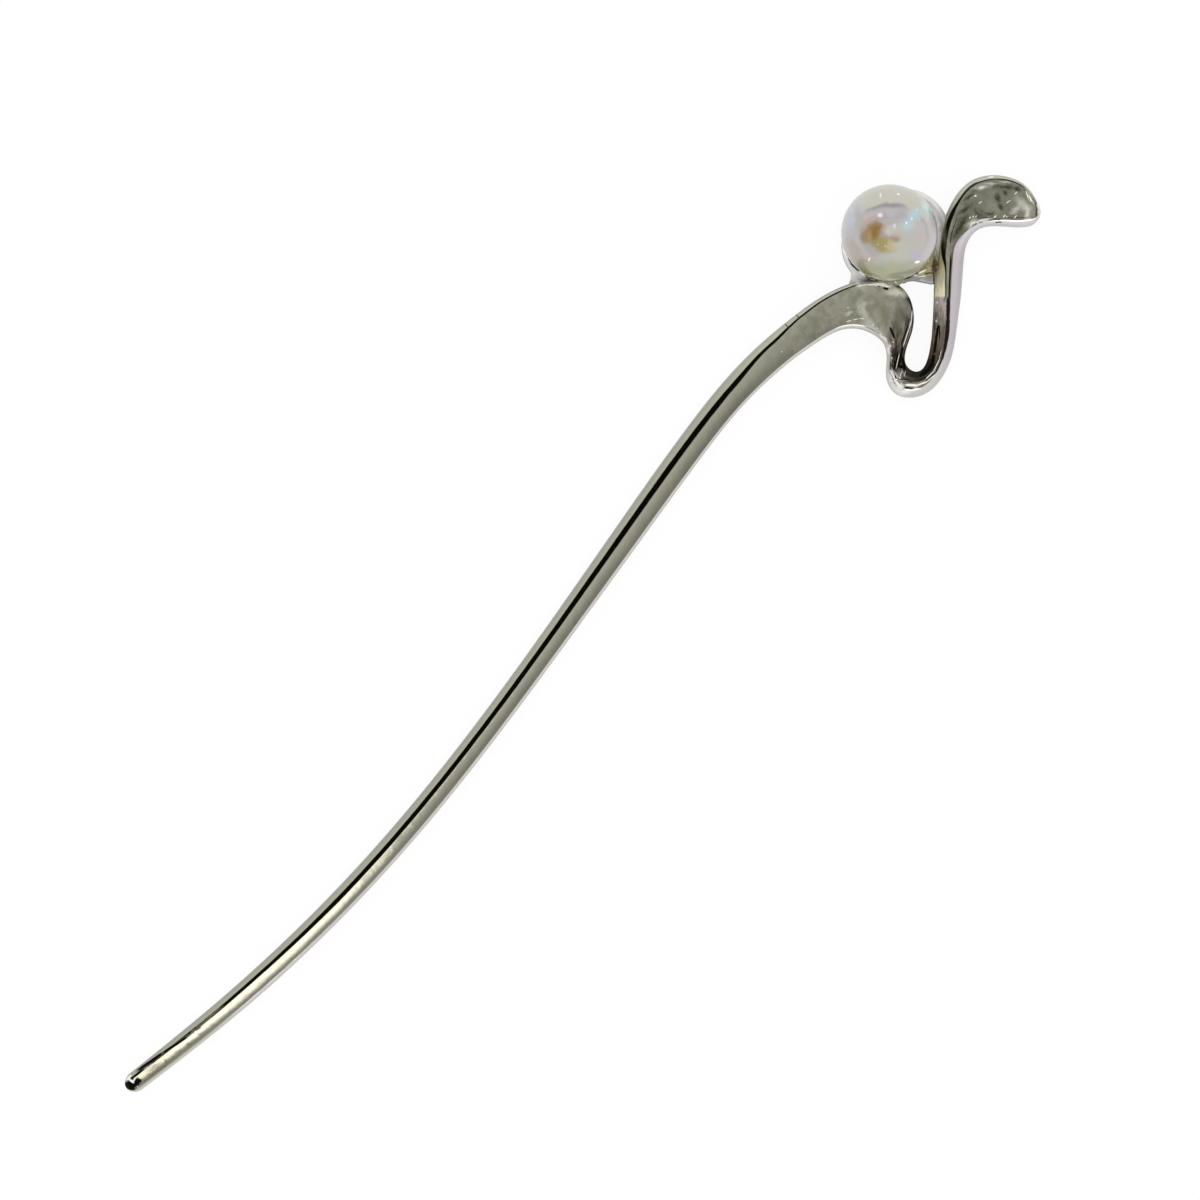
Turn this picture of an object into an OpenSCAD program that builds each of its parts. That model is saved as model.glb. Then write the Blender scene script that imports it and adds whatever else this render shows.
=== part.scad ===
/* [Stick] */
// Overall length, from the rod's tip to the end of the leaf
stick_l = 157.6; // [135:0.1:180]
// Thickness of the rod at its tip
tip_h = 2.2; // [1.8:0.1:2.6]
// Thickness of the rod at half its length
rod_h = 2.7; // [2.2:0.1:3.2]
// Thickness of the waved ribbon at its crest
ribbon_h = 3; // [2.6:0.1:3.4]
// Length of the rounded end of the rod
tip_round = 1.6; // [1:0.1:2.5]
// Length of the rounded end of the leaf
leaf_round = 0.45; // [0.35:0.05:0.6]

/* [Section] */
// Height of the widest line of the section, as a share of its thickness
belly = 0.4; // [0.3:0.05:0.5]
// Width of the rounding between the side and the flat back
back_round = 0.7; // [0.4:0.05:0.9]
// Narrowest face that is left between the two flanks
face_min = 0.12; // [0.1:0.02:0.3]

/* [Pearl] */
// Diameter of the pearl
pearl_d = 11.8; // [11:0.1:12]
// Clear space between the pearl and the metal
pearl_gap = 0.1; // [0.05:0.05:0.2]

/* [Seat] */
// Height of the two round plates that the pearl sits in
seat_h = 2.4; // [2:0.1:2.8]
// Thickness of metal left under the pearl
seat_floor = 1; // [0.8:0.1:1.4]
// Radius of the plate beside the shoulder
shoulder_plate_r = 4.95; // [4.8:0.05:5.2]
// Radius of the plate beside the stem
stem_plate_r = 5.75; // [5.5:0.05:6]
// Width of the rounded upper edge of the plates
seat_round = 1; // [0.5:0.1:1.4]
// Height of the small webs that join the plates to the ribbon
web_h = 1.5; // [1.2:0.1:2]
// Diameter of the peg inside the pearl
peg_d = 1.4; // [1:0.1:2]
// Length of the peg above the seat's floor
peg_l = 4; // [3:0.1:6]

/* [Glue] */
// Outer radius of the ring of glue under the pearl
glue_r = 4.9; // [4.6:0.1:5.2]
// Inner radius of the ring of glue
glue_bore_r = 4.2; // [4.1:0.05:4.4]
// Clear space round the glue
glue_gap = 0.05; // [0.03:0.01:0.06]

/* [Detail] */
// Steps across each flank of the section
flank_steps = 5; // [3:1:6]
// Steps across the face
face_steps = 5; // [3:1:6]
// Steps round each lower edge
back_steps = 3; // [2:1:4]
// Distance between the rings along the rod
rod_step = 3; // [2:0.5:5]
// Distance between the rings along the ribbon
ribbon_step = 0.8; // [0.7:0.1:2]
// Rings in each rounded end
end_rings = 6; // [3:1:8]

/* [Hidden] */

// Where the two edges of the metal run in plan, from the tip to the leaf.
// The tip is near 0, 0, and the stick lies along x.
// Columns: left edge x, left edge y, right edge x, right edge y
EDGES = [
    [1.3, 0.75, 0.9, -1.7],
    [16.1, -0.3, 15.9, -3.1],
    [45.8, 0.5, 46.2, -2.5],
    [77.7, 5.6, 78.3, 2.45],
    [93.3, 8.8, 94.7, 5.5],
    [104.3, 10.95, 105.7, 7.5],
    [113.5, 12.3, 114.4, 8.55],
    [120.6, 12.5, 120.8, 8.4],
    [126, 11.95, 124.6, 7.9],
    [129.65, 11.3, 128, 7],
    [134.4, 9.5, 130.3, 4.8],
    [136.05, 8.15, 130.7, 3.8],
    [137.2, 4.9, 130.9, 2.3],
    [134.5, 0.8, 130, 0.6],
    [133.2, 0.1, 129.5, 0.1],
    [131.05, -1.7, 127.8, -2],
    [131.15, -2.9, 127.8, -3.9],
    [132.1, -3.5, 130, -5.9],
    [133.6, -3, 133.5, -5.9],
    [137.4, 0.1, 139.2, -2.4],
    [139, 1.65, 141.2, -0.8],
    [142, 4.6, 144.7, 2.3],
    [143.5, 5.9, 146.3, 3.6],
    [147, 8.1, 149.2, 4.2],
    [152.6, 9.2, 151.9, 2.05],
    [156.5, 5.8, 153.5, 0.5],
    [157, 2.9, 154.55, -0.02],
    [156.6, 1.5, 154.95, 0]
];

// How the section is shaped along the stick.
// Columns: row of EDGES, left flank width, right flank width,
// drop of the crest below ribbon_h, drop of the face to its right rim,
// hollow of the face, roundness of the flanks (2 round, 1 a flat bevel)
SHAPES = [
    [0, 1.1, 1.3, ribbon_h - tip_h, 0, 0, 2],
    [2, 1.2, 1.8, ribbon_h - rod_h, 0, 0, 2],
    [4, 1.3, 1.6, 0.2, 0.1, 0, 1.8],
    [6, 1.25, 0.9, 0.1, 0.2, 0, 1.5],
    [8, 0.85, 0.75, 0, 0.3, 0.08, 1.4],
    [10, 0.6, 0.75, 0, 0.35, 0.16, 1.35],
    [12, 0.5, 0.9, 0, 0.5, 0.2, 1.4],
    [14, 0.55, 1, 0, 0.6, 0.12, 1.4],
    [16, 1, 1.15, 0, 0.3, 0.03, 1.4],
    [19, 1.6, 1.4, 0, 0, 0, 1.35],
    [21, 1.75, 1.45, 0, 0, 0, 1.3],
    [23, 1, 1.4, 0.15, 0.08, 0.1, 1.35],
    [24, 0.8, 1.15, 0.27, 0.13, 0.22, 1.35],
    [25, 0.72, 1, 0.38, 0.1, 0.15, 1.4],
    [27, 0.55, 0.75, 0.45, 0, 0.02, 1.4]
];

// Rows of EDGES before this one belong to the rod, which stick_l stretches
RIBBON_ROW = 7;
TABLE_L = 157.6;
rod_end = EDGES[RIBBON_ROW - 1][0];
rod_stretch = (stick_l - TABLE_L + rod_end) / rod_end;

function stretched(x) = x <= rod_end ? x * rod_stretch : x + rod_end * (rod_stretch - 1);

edge_rows = [for (row = EDGES) [stretched(row[0]), row[1], stretched(row[2]), row[3]]];

// Natural cubic curve through rows of numbers that lie h apart
function slope(rows, h, i) = (rows[i + 1] - rows[i]) / h[i];
function bend_load(rows, h, i) = 6 * (slope(rows, h, i + 1) - slope(rows, h, i));

function bend_down(rows, h) = [
    for (
        i = 0, pivot = 1, share = 0, bend = 0 * rows[0];
        i < len(h);
        pivot = i + 1 < len(h) ? 2 * (h[i] + h[i + 1]) - h[i] * share : 1,
        bend = i + 1 < len(h) ? (bend_load(rows, h, i) - h[i] * bend) / pivot : bend,
        share = i + 1 < len(h) ? h[i + 1] / pivot : 0,
        i = i + 1
    )
    [share, bend]
];

function bends(rows, h) =
    let(down = bend_down(rows, h))
    let(up = [
        for (
            i = len(h), bend = 0 * rows[0];
            i >= 0;
            i = i - 1,
            bend = i > 0 ? down[i][1] - down[i][0] * bend : 0 * rows[0]
        )
        bend
    ])
    [for (i = [len(h) : -1 : 0]) up[i]];

function on_curve(rows, h, bend, i, f) =
    (1 - f) * rows[i] + f * rows[i + 1]
    + h[i] * h[i] / 6 * ((pow(1 - f, 3) - (1 - f)) * bend[i] + (pow(f, 3) - f) * bend[i + 1]);

// The edges run through their rows by the distance between section middles
function middle(row) = [row[0] + row[2], row[1] + row[3]] / 2;
edge_h = [for (i = [0 : len(edge_rows) - 2]) norm(middle(edge_rows[i + 1]) - middle(edge_rows[i]))];
edge_bend = bends(edge_rows, edge_h);

// The section's shape runs through its rows by the number of the edge row
shape_rows = [for (row = SHAPES) [for (k = [1 : len(row) - 1]) row[k]]];
shape_h = [for (i = [0 : len(SHAPES) - 2]) SHAPES[i + 1][0] - SHAPES[i][0]];

function shape_at(u) =
    let(below = [for (i = [0 : len(SHAPES) - 2]) if (SHAPES[i][0] <= u) i])
    let(i = below[len(below) - 1], f = (u - SHAPES[i][0]) / shape_h[i])
    let(ease = f * f * (3 - 2 * f))
    (1 - ease) * shape_rows[i] + ease * shape_rows[i + 1];

// Flank profile from the side, 0, to the crest, 1, and the rounding under it
function flank_rise(d, round) = d >= 1 ? 1 : pow(1 - pow(1 - d, round), 1 / round);
function back_lift(d) = d >= 1 ? 0 : 1 - sqrt(1 - pow(1 - d, 2));

// One ring of points, from the left side over the top and back underneath.
// top is the share of its height that the ring has above its side,
// and lift the share that its back is raised towards its side.
function ring(edges, shape, top = 1, lift = 0) =
    let(left = [edges[0], edges[1]], right = [edges[2], edges[3]], w = norm(right - left))
    let(lf = min(shape[0], (w - face_min) / 2), rf = min(shape[1], w - lf - face_min))
    let(crest = ribbon_h - shape[2], side = belly * crest)
    let(left_rise = (crest - side) * top, right_rise = (crest - shape[3] - side) * top)
    let(e = 2 / shape[5], corner = min(back_round, w / 2 - face_min))
    let(flank = [
        for (k = [0 : flank_steps])
            let(a = 90 * k / flank_steps)
            [pow(sin(a), e), pow(cos(a), e)]
    ])
    let(under = [
        for (k = [1 : back_steps])
            let(a = 90 * k / back_steps)
            [corner * (1 - cos(a)), side * (1 - (1 - lift) * sin(a))]
    ])
    let(section = concat(
        [for (k = [flank_steps : -1 : 0]) [lf * (1 - flank[k][0]), side + left_rise * flank[k][1]]],
        [
            for (k = [1 : face_steps - 1])
                let(f = k / face_steps, hollow = shape[4] * top * sin(180 * f))
                [lf + f * (w - lf - rf), side + (1 - f) * left_rise + f * right_rise - hollow]
        ],
        [for (k = [0 : flank_steps]) [w - rf * (1 - flank[k][0]), side + right_rise * flank[k][1]]],
        [for (k = [0 : back_steps - 1]) [w - under[k][0], under[k][1]]],
        [for (k = [back_steps - 1 : -1 : 0]) under[k]]
    ))
    [for (p = section) [each left + (right - left) * p[0] / w, p[1]]];

ring_n = 2 * (flank_steps + 1) + face_steps - 1 + 2 * back_steps;

function steps_in(i) = max(1, round(edge_h[i] / (i < RIBBON_ROW ? rod_step : ribbon_step)));

edge_last = len(edge_h);

body_rings = [
    for (i = [0 : edge_last - 1])
        for (j = [0 : steps_in(i) - (i < edge_last - 1 ? 1 : 0)])
            let(f = j / steps_in(i))
            ring(on_curve(edge_rows, edge_h, edge_bend, i, f), shape_at(i + f))
];

// A rounded end is part of an ellipse in plan, with the same flank all round.
// from is the angle on the ellipse where the end takes over from the two edges:
// 0 where they run side by side, more where they close in on each other.
function end_ring(edges, shape, way, length, from, k) =
    let(a = from + (LAST_ANGLE - from) * k / end_rings)
    let(out = (sin(a) - sin(from)) / (1 - sin(from)))
    let(c = middle(edges) + way * length * out)
    let(half = [edges[0] - edges[2], edges[1] - edges[3]] / 2 * cos(a) / cos(from))
    let(d = length * (1 - out))
    ring(
        concat(c + half, c - half),
        shape,
        flank_rise(d / shape[0], shape[5]),
        back_lift(d / back_round)
    );

// Outwards is square to the end's own chord
function square_to(edges) =
    let(along = [edges[2] - edges[0], edges[3] - edges[1]])
    [-along[1], along[0]] / norm(along);

// The last ring stops just short of a point
LAST_ANGLE = 86;
LEAF_FROM = 42;
tip_edges = edge_rows[0];
leaf_edges = edge_rows[edge_last];
tip_rings = [
    for (k = [end_rings : -1 : 1])
        end_ring(tip_edges, shape_at(0), -square_to(tip_edges), tip_round, 0, k)
];
leaf_rings = [
    for (k = [1 : end_rings])
        end_ring(leaf_edges, shape_at(edge_last), square_to(leaf_edges), leaf_round, LEAF_FROM, k)
];
stick_rings = concat(tip_rings, body_rings, leaf_rings);

// The middle of the pearl in plan
PEARL_AT = [140.3, 11.45];
pearl_x = stretched(PEARL_AT[0]);
pearl_y = PEARL_AT[1];
pearl_z = seat_floor + pearl_gap + pearl_d / 2;

// The origin is below the middle of the whole piece
stick_x = [for (r = stick_rings) for (p = r) p[0]];
stick_y = [for (r = stick_rings) for (p = r) p[1]];
mid_x = (min(stick_x) + max(stick_x)) / 2;
mid_y = (min(stick_y) + pearl_y + pearl_d / 2) / 2;

// The seat, measured in plan from the pearl's middle
SHOULDER_PLATE = [-1.25, -0.45];
STEM_PLATE = [1.6, -1.35];
SHOULDER_WEB = [[-5.8, 0], [-6.2, -0.2], [-6.6, -0.6], [-7.3, -1], [-7.7, -1.6], [-5, -3.4], [-3, -2]];
STEM_WEB = [[-1.8, -5.9], [-1.2, -6.5], [0, -8.2], [1.2, -8.8], [4.4, -5.2], [2, -3]];

METAL = [0.74, 0.74, 0.72];
IVORY = [0.86, 0.85, 0.8];
AMBER = [0.72, 0.6, 0.36];
ROUND_FN = 96;
SMALL_FN = 48;

module swept_metal() {
    count = len(stick_rings);
    points = [for (r = stick_rings) each r];
    sides = [
        for (i = [0 : count - 2])
            for (k = [0 : ring_n - 1])
                let(a = i * ring_n + k, b = i * ring_n + (k + 1) % ring_n)
                each [[a, b + ring_n, b], [a, a + ring_n, b + ring_n]]
    ];
    tip_face = [for (k = [0 : ring_n - 1]) k];
    leaf_face = [for (k = [ring_n - 1 : -1 : 0]) (count - 1) * ring_n + k];
    polyhedron(points, concat(sides, [tip_face, leaf_face]));
}

// A round plate whose upper edge is rounded
module round_plate(r) {
    rotate_extrude($fn = ROUND_FN)
        union() {
            square([r - seat_round, seat_h]);
            square([r, seat_h - seat_round]);
            translate([r - seat_round, seat_h - seat_round])
                intersection() {
                    circle(seat_round, $fn = SMALL_FN);
                    square(seat_round);
                }
        }
}

// The plates have a hollow that fits the pearl
module seat() {
    difference() {
        union() {
            translate(SHOULDER_PLATE)
                round_plate(shoulder_plate_r);
            translate(STEM_PLATE)
                round_plate(stem_plate_r);
            linear_extrude(web_h)
                polygon(SHOULDER_WEB);
            linear_extrude(web_h)
                polygon(STEM_WEB);
        }
        translate([0, 0, pearl_z])
            sphere(pearl_d / 2 + pearl_gap, $fn = ROUND_FN);
    }
    cylinder(h = seat_floor + peg_l, d = peg_d, $fn = SMALL_FN);
}

module hair_stick() {
    color(METAL)
        translate([-mid_x, -mid_y, 0]) {
            swept_metal();
            translate([pearl_x, pearl_y, 0])
                seat();
        }
}

// The pearl is drilled from below for the peg
module pearl() {
    hole_d = peg_d + 2 * pearl_gap;
    color(IVORY)
        translate([pearl_x - mid_x, pearl_y - mid_y, 0])
            difference() {
                translate([0, 0, pearl_z])
                    sphere(pearl_d / 2, $fn = ROUND_FN);
                cylinder(h = seat_floor + peg_l + pearl_gap, d = hole_d, $fn = SMALL_FN);
            }
}

// The glue fills the corner between the seat and the pearl
module glue() {
    color(AMBER)
        translate([pearl_x - mid_x, pearl_y - mid_y, seat_h + glue_gap])
            difference() {
                cylinder(h = pearl_z - seat_h, r = glue_r, $fn = ROUND_FN);
                cylinder(h = pearl_z - seat_h, r = glue_bore_r, $fn = ROUND_FN);
                translate([0, 0, pearl_z - seat_h - glue_gap])
                    sphere(pearl_d / 2 + glue_gap, $fn = ROUND_FN);
            }
}

hair_stick();
pearl();
glue();
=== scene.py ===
"""Looks of a hair stick: a plated casting with a waved head, an iridescent pearl and its glue."""

from math import atan2, cos, hypot, pi, radians, sin, sqrt

import bmesh
import bpy
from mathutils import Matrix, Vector


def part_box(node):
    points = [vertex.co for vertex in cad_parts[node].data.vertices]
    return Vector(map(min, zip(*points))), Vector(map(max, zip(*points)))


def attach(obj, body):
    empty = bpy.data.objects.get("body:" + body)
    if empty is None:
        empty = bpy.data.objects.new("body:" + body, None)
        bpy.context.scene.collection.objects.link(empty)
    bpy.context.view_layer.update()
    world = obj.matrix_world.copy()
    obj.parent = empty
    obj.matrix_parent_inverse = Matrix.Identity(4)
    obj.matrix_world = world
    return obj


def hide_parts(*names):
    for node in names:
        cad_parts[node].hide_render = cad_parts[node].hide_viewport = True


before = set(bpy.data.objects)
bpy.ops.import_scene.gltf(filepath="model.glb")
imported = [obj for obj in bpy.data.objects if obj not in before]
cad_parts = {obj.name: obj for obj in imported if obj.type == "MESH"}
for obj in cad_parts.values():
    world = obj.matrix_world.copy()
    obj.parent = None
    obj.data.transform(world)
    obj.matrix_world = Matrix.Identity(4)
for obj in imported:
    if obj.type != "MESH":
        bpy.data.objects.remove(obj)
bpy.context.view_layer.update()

MM = 0.001

# Sizes in millimetres, as in the part's source. BELLY and FLANK_SLOPE are ratios
RIBBON_H = 3.0
TIP_H = 2.2
ROD_H = 2.7
TIP_ROUND = 1.6
LEAF_ROUND = 0.45
BELLY = 0.4
BACK_ROUND = 0.7
FACE_MIN = 0.12
FLANK_SLOPE = 1.15
PEARL_D = 11.8
PEARL_GAP = 0.1
SEAT_H = 2.4
SEAT_FLOOR = 1.0
SHOULDER_PLATE_R = 4.95
STEM_PLATE_R = 5.75
SEAT_ROUND = 1.0
WEB_H = 1.5
PEG_D = 1.4
PEG_L = 4.0
GLUE_R = 4.9
GLUE_BORE_R = 4.2
GLUE_GAP = 0.05

# Finer steps than the solid's, so that the polish runs smoothly
FLANK_STEPS = 13
FACE_STEPS = 12
BACK_STEPS = 5
ROD_STEP = 0.7
RIBBON_STEP = 0.3
END_RINGS = 14
EDGE_STEPS = 8

# Share of a rounded end's length over which its top comes down
END_SHARE = 0.9

# The metal's UV map holds the distance along the ribbon, and the band across the section.
# Bands count from the left side, 0, over the crest, 1, and the right rim, 2, to the right side, 3,
# and on round the back to 5. A flank's curve takes up FLANK_BAND of its band
UV_LENGTH = 200.0
UV_START = 0.05
UV_BANDS = 5
FLANK_BAND = 0.9

# Where the two edges of the metal run in plan, from the tip to the leaf.
# The tip is near 0, 0, and the stick lies along x.
# Columns: left edge x, left edge y, right edge x, right edge y
EDGES = [
    (1.3, 0.75, 0.9, -1.7),
    (16.1, -0.3, 15.9, -3.1),
    (45.8, 0.5, 46.2, -2.5),
    (77.7, 5.6, 78.3, 2.45),
    (93.3, 8.8, 94.7, 5.5),
    (104.3, 10.95, 105.7, 7.5),
    (113.5, 12.3, 114.4, 8.55),
    (120.6, 12.5, 120.8, 8.4),
    (126.04, 12.06, 124.6, 7.9),
    (129.7, 11.43, 128, 7),
    (134.4, 9.5, 130.3, 4.8),
    (136.05, 8.15, 130.7, 3.8),
    (137.2, 4.9, 130.9, 2.3),
    (134.5, 0.8, 130, 0.6),
    (133.2, 0.1, 129.5, 0.1),
    (131.05, -1.7, 127.8, -2),
    (131.15, -2.9, 127.8, -3.9),
    (132.1, -3.5, 130, -5.88),
    (133.6, -3, 133.5, -5.88),
    (137.4, 0.1, 139.2, -2.4),
    (139, 1.65, 141.2, -0.8),
    (142, 4.6, 144.7, 2.3),
    (143.5, 5.9, 146.3, 3.6),
    (147, 8.1, 149.2, 4.2),
    (152.6, 9.2, 151.9, 2.05),
    (156.5, 5.8, 153.5, 0.5),
    (156.93, 2.9, 154.55, -0.02),
    (156.6, 1.5, 154.95, 0),
]

# How the section is shaped along the stick.
# Columns: row of EDGES, left flank width, right flank width,
# drop of the crest below RIBBON_H, drop of the face to its right rim,
# hollow of the face, roundness of the flanks (2 round, 1 a flat bevel)
SHAPES = [
    (0, 0.84, 0.5, RIBBON_H - TIP_H, 0.08, 0, 2),
    (1, 1.16, 0.5, 0.6, 0.08, 0, 2),
    (2, 1.57, 0.5, RIBBON_H - ROD_H, 0.07, 0, 2),
    (3, 1.84, 0.5, 0.25, 0.07, 0, 2),
    (4, 1.98, 0.5, 0.2, 0.07, 0, 2),
    (5, 2, 0.45, 0.15, 0.08, 0, 2),
    (6, 1.76, 0.4, 0.1, 0.1, 0, 2),
    (7, 1.24, 0.45, 0.05, 0.12, 0, 2),
    (8, 0.78, 0.45, 0, 0.12, 0, 2),
    (9, 0.66, 0.5, 0, 0.1, 0, 2),
    (10, 0.58, 0.55, 0, 0.1, 0, 2),
    (12, 0.6, 0.7, 0, 0.04, 0.02, 2),
    (14, 0.7, 0.9, 0, 0.02, 0.02, 2),
    (16, 0.95, 1.1, 0, 0.02, 0, 1.8),
    (19, 1.45, 1.27, 0, 0, 0, 1.6),
    (21, 1.22, 1.6, 0, 0, 0, 1.6),
    (22, 1.1, 1.75, 0.05, 0.02, 0, 1.7),
    (23, 0.85, 0.95, 0.15, 0.08, 0.03, 1.8),
    (24, 0.75, 1.1, 0.27, 0.1, 0.06, 2),
    (25, 0.62, 0.98, 0.38, 0.08, 0.06, 2),
    (27, 0.5, 0.65, 0.45, 0, 0.02, 2),
]

# The run of glue that has come out below the bead, measured from the pearl's middle.
# Columns: x, y, height of its middle, half width, half height
GLUE_RUN = [
    (-5.14, -1.92, 2.5, 0.42, 0.4),
    (-4.89, -2.72, 2.55, 0.5, 0.45),
    (-4.47, -3.54, 2.6, 0.6, 0.5),
    (-3.84, -4.32, 2.65, 0.65, 0.5),
    (-3.08, -4.95, 2.65, 0.6, 0.5),
    (-2.3, -5.39, 2.55, 0.5, 0.45),
    (-1.19, -5.65, 2.5, 0.45, 0.4),
    (-0.4, -5.91, 2.5, 0.5, 0.5),
    (0.3, -6.06, 2.5, 0.65, 0.55),
    (1.05, -6.17, 2.65, 0.95, 0.8),
    (2, -5.89, 2.7, 0.8, 0.8),
    (2.65, -5.39, 2.65, 0.6, 0.65),
    (0.54, -6.8, 2.45, 0.65, 0.5),
    (1.37, -6.65, 2.6, 0.75, 0.75),
    (-0.21, -6.43, 2.45, 0.45, 0.4),
]

# Dark spots, and painted glints, on the glue, in the same columns as the marks on the metal
GLUE_DARK = [
    (139.43, 5.77, 0.07, 139.9, 5.46), (140.44, 4.77, 0.1, 141.09, 4.29), (134.9, 9.44, 0.06, 135.85, 7.93),
    (138.13, 6.02, 0.06, 139.06, 5.65),
]
GLUE_GLINTS = [
    (139.96, 5.36, 0.1, 140.67, 5.1), (139.36, 5.52, 0.07, 139.74, 4.93, 0.06, 140.21, 4.62),
    (135.04, 8.69, 0.07, 135.07, 8.62), (137, 6.57, 0.07, 137.04, 6.48), (140.64, 5.61, 0.04, 140.78, 5.58),
    (141.69, 5.64, 0.05, 141.82, 5.68),
]

# The bead's colours, in radii from its middle, seen from above with the stick rising to the right.
# Columns: x, y, half width, half height, turn in degrees, softness, share, colour
# Round the rim; the olive, green and brown ovals towards the bottom are painted shade
NACRE_RING = [
    (-0.8, 0.25, 0.24, 0.5, 0, 0.8, 0.9, (0.43, 0.43, 0.51)),
    (-0.7, -0.42, 0.34, 0.4, 30, 0.7, 0.9, (0.36, 0.31, 0.26)),
    (0, -0.95, 1, 0.36, 0, 0.5, 0.9, (0.28, 0.28, 0.15)),
    (0.93, -0.1, 0.24, 0.6, 0, 0.7, 0.9, (0.44, 0.41, 0.43)),
    (-0.13, -0.56, 0.16, 0.16, 0, 0.6, 0.5, (0.38, 0.37, 0.4)),
    (-0.45, -0.36, 0.16, 0.14, 0, 0.7, 0.7, (0.44, 0.38, 0.38)),
    (0.42, -1.02, 0.78, 0.42, 6, 0.12, 0.75, (0.33, 0.325, 0.23)),
    (-0.18, -0.8, 0.16, 0.08, 0, 0.6, 0.7, (0.27, 0.32, 0.16)),
    (0.04, -0.72, 0.12, 0.12, 0, 0.7, 0.7, (0.36, 0.35, 0.2)),
]
NACRE_DISC = [
    (-0.62, 0.24, 0.07, 0.3, 8, 0.8, 0.6, (0.3, 0.33, 0.28)),
    (-0.1, 0.42, 0.34, 0.12, 0, 0.8, 0.4, (0.4, 0.37, 0.42)),
    (-0.41, 0.22, 0.2, 0.16, 0, 0.8, 0.9, (0.47, 0.37, 0.33)),
    (0.55, 0.36, 0.36, 0.11, 40, 0.9, 0.7, (0.42, 0.5, 0.52)),
    (0.42, -0.2, 0.34, 0.34, 0, 0.9, 0.8, (0.4, 0.41, 0.35)),
    (0.66, -0.08, 0.16, 0.26, 0, 0.9, 0.6, (0.45, 0.38, 0.39)),
    (0.57, -0.46, 0.15, 0.1, 0, 0.8, 0.8, (0.4, 0.36, 0.5)),
    (-0.23, -0.07, 0.28, 0.24, -25, 0.35, 0.85, (0.34, 0.26, 0.14)),
    (-0.3, 0.04, 0.18, 0.15, 0, 0.5, 0.9, (0.3, 0.19, 0.055)),
    (-0.49, -0.08, 0.12, 0.14, -10, 0.5, 0.9, (0.31, 0.23, 0.12)),
    (-0.1, -0.25, 0.26, 0.17, -20, 0.4, 0.9, (0.34, 0.29, 0.11)),
    (-0.29, 0.01, 0.08, 0.16, -10, 0.8, 0.9, (0.26, 0.15, 0.04)),
    (0.11, -0.11, 0.09, 0.09, 0, 0.8, 0.9, (0.24, 0.14, 0.06)),
    (-0.39, -0.09, 0.05, 0.13, -5, 0.8, 0.9, (0.4, 0.27, 0.12)),
    (-0.02, 0.02, 0.14, 0.12, 0, 0.8, 0.85, (0.44, 0.41, 0.43)),
    (0.12, 0.1, 0.2, 0.15, 0, 0.8, 0.85, (0.49, 0.48, 0.42)),
    (0.12, 0.21, 0.17, 0.02, 8, 0.8, 0.35, (0.3, 0.3, 0.33)),
    (0.77, 0.54, 0.13, 0.12, 0, 0.8, 0.95, (0.5, 0.74, 0.68)),
    (0.83, 0.42, 0.07, 0.18, -30, 0.8, 0.7, (0.45, 0.58, 0.55)),
    (0.51, 0.38, 0.12, 0.1, 30, 0.8, 0.9, (0.36, 0.52, 0.57)),
    (0.34, 0.18, 0.14, 0.12, 0, 0.8, 0.85, (0.42, 0.54, 0.57)),
]
# Painted highlights
NACRE_GLINTS = [
    (-0.185, 0.764, 0.018, 0.055, 0, 0.5, 0.8, (0.9, 0.85, 0.6)),
    (0.178, 0.779, 0.036, 0.032, 0, 0.4, 1, (1, 1, 0.95)),
    (0.24, 0.72, 0.014, 0.02, 0, 0.5, 0.5, (0.8, 0.8, 0.75)),
    (-0.19, 0.36, 0.05, 0.045, 0, 0.6, 0.9, (0.85, 0.75, 0.82)),
    (-0.42, -0.56, 0.018, 0.05, -20, 0.4, 1, (0.95, 0.95, 0.88)),
    (-0.45, -0.61, 0.03, 0.014, 0, 0.4, 0.8, (0.9, 0.9, 0.8)),
    (-0.27, -0.66, 0.024, 0.018, 20, 0.4, 1, (1, 1, 0.9)),
    (-0.32, -0.7, 0.02, 0.014, -30, 0.4, 0.6, (0.8, 0.78, 0.62)),
    (0.58, -0.605, 0.06, 0.024, 15, 0.3, 1, (1, 1, 0.97)),
    (0.105, 0.142, 0.024, 0.05, 0, 0.7, 0.7, (0.75, 0.7, 0.8)),
    (0.345, 0.2, 0.026, 0.026, 0, 0.5, 0.9, (0.85, 0.98, 0.98)),
    (0.56, 0.47, 0.05, 0.012, 35, 0.6, 0.7, (0.75, 0.6, 0.85)),
    (0.45, 0.28, 0.03, 0.03, 0, 0.6, 0.8, (0.7, 0.85, 0.88)),
    (-0.23, -0.245, 0.02, 0.024, 0, 0.5, 0.9, (0.62, 0.58, 0.28)),
    (-0.085, -0.275, 0.024, 0.018, 0, 0.5, 0.9, (0.65, 0.6, 0.3)),
    (-0.16, -0.3, 0.014, 0.02, 0, 0.5, 0.7, (0.55, 0.52, 0.25)),
]

# How steeply the stick rises to the right in the camera's view
VIEW_TURN = radians(43.5)

# The camera sees the bead at a slant, which moves its top this far, in radii
BEAD_LEAN = (0.06, 0.077)

# How far down from the face a mark reaches
MARK_DEPTH = 2.4

# Rows of EDGES before this one belong to the rod
RIBBON_ROW = 7

# Where the last ring of a rounded end lies on its ellipse, and where the leaf's end begins on its own
LAST_ANGLE = radians(88)
LEAF_FROM = radians(42)

# The pearl's middle in plan
PEARL_AT = (140.3, 11.45)

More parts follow.
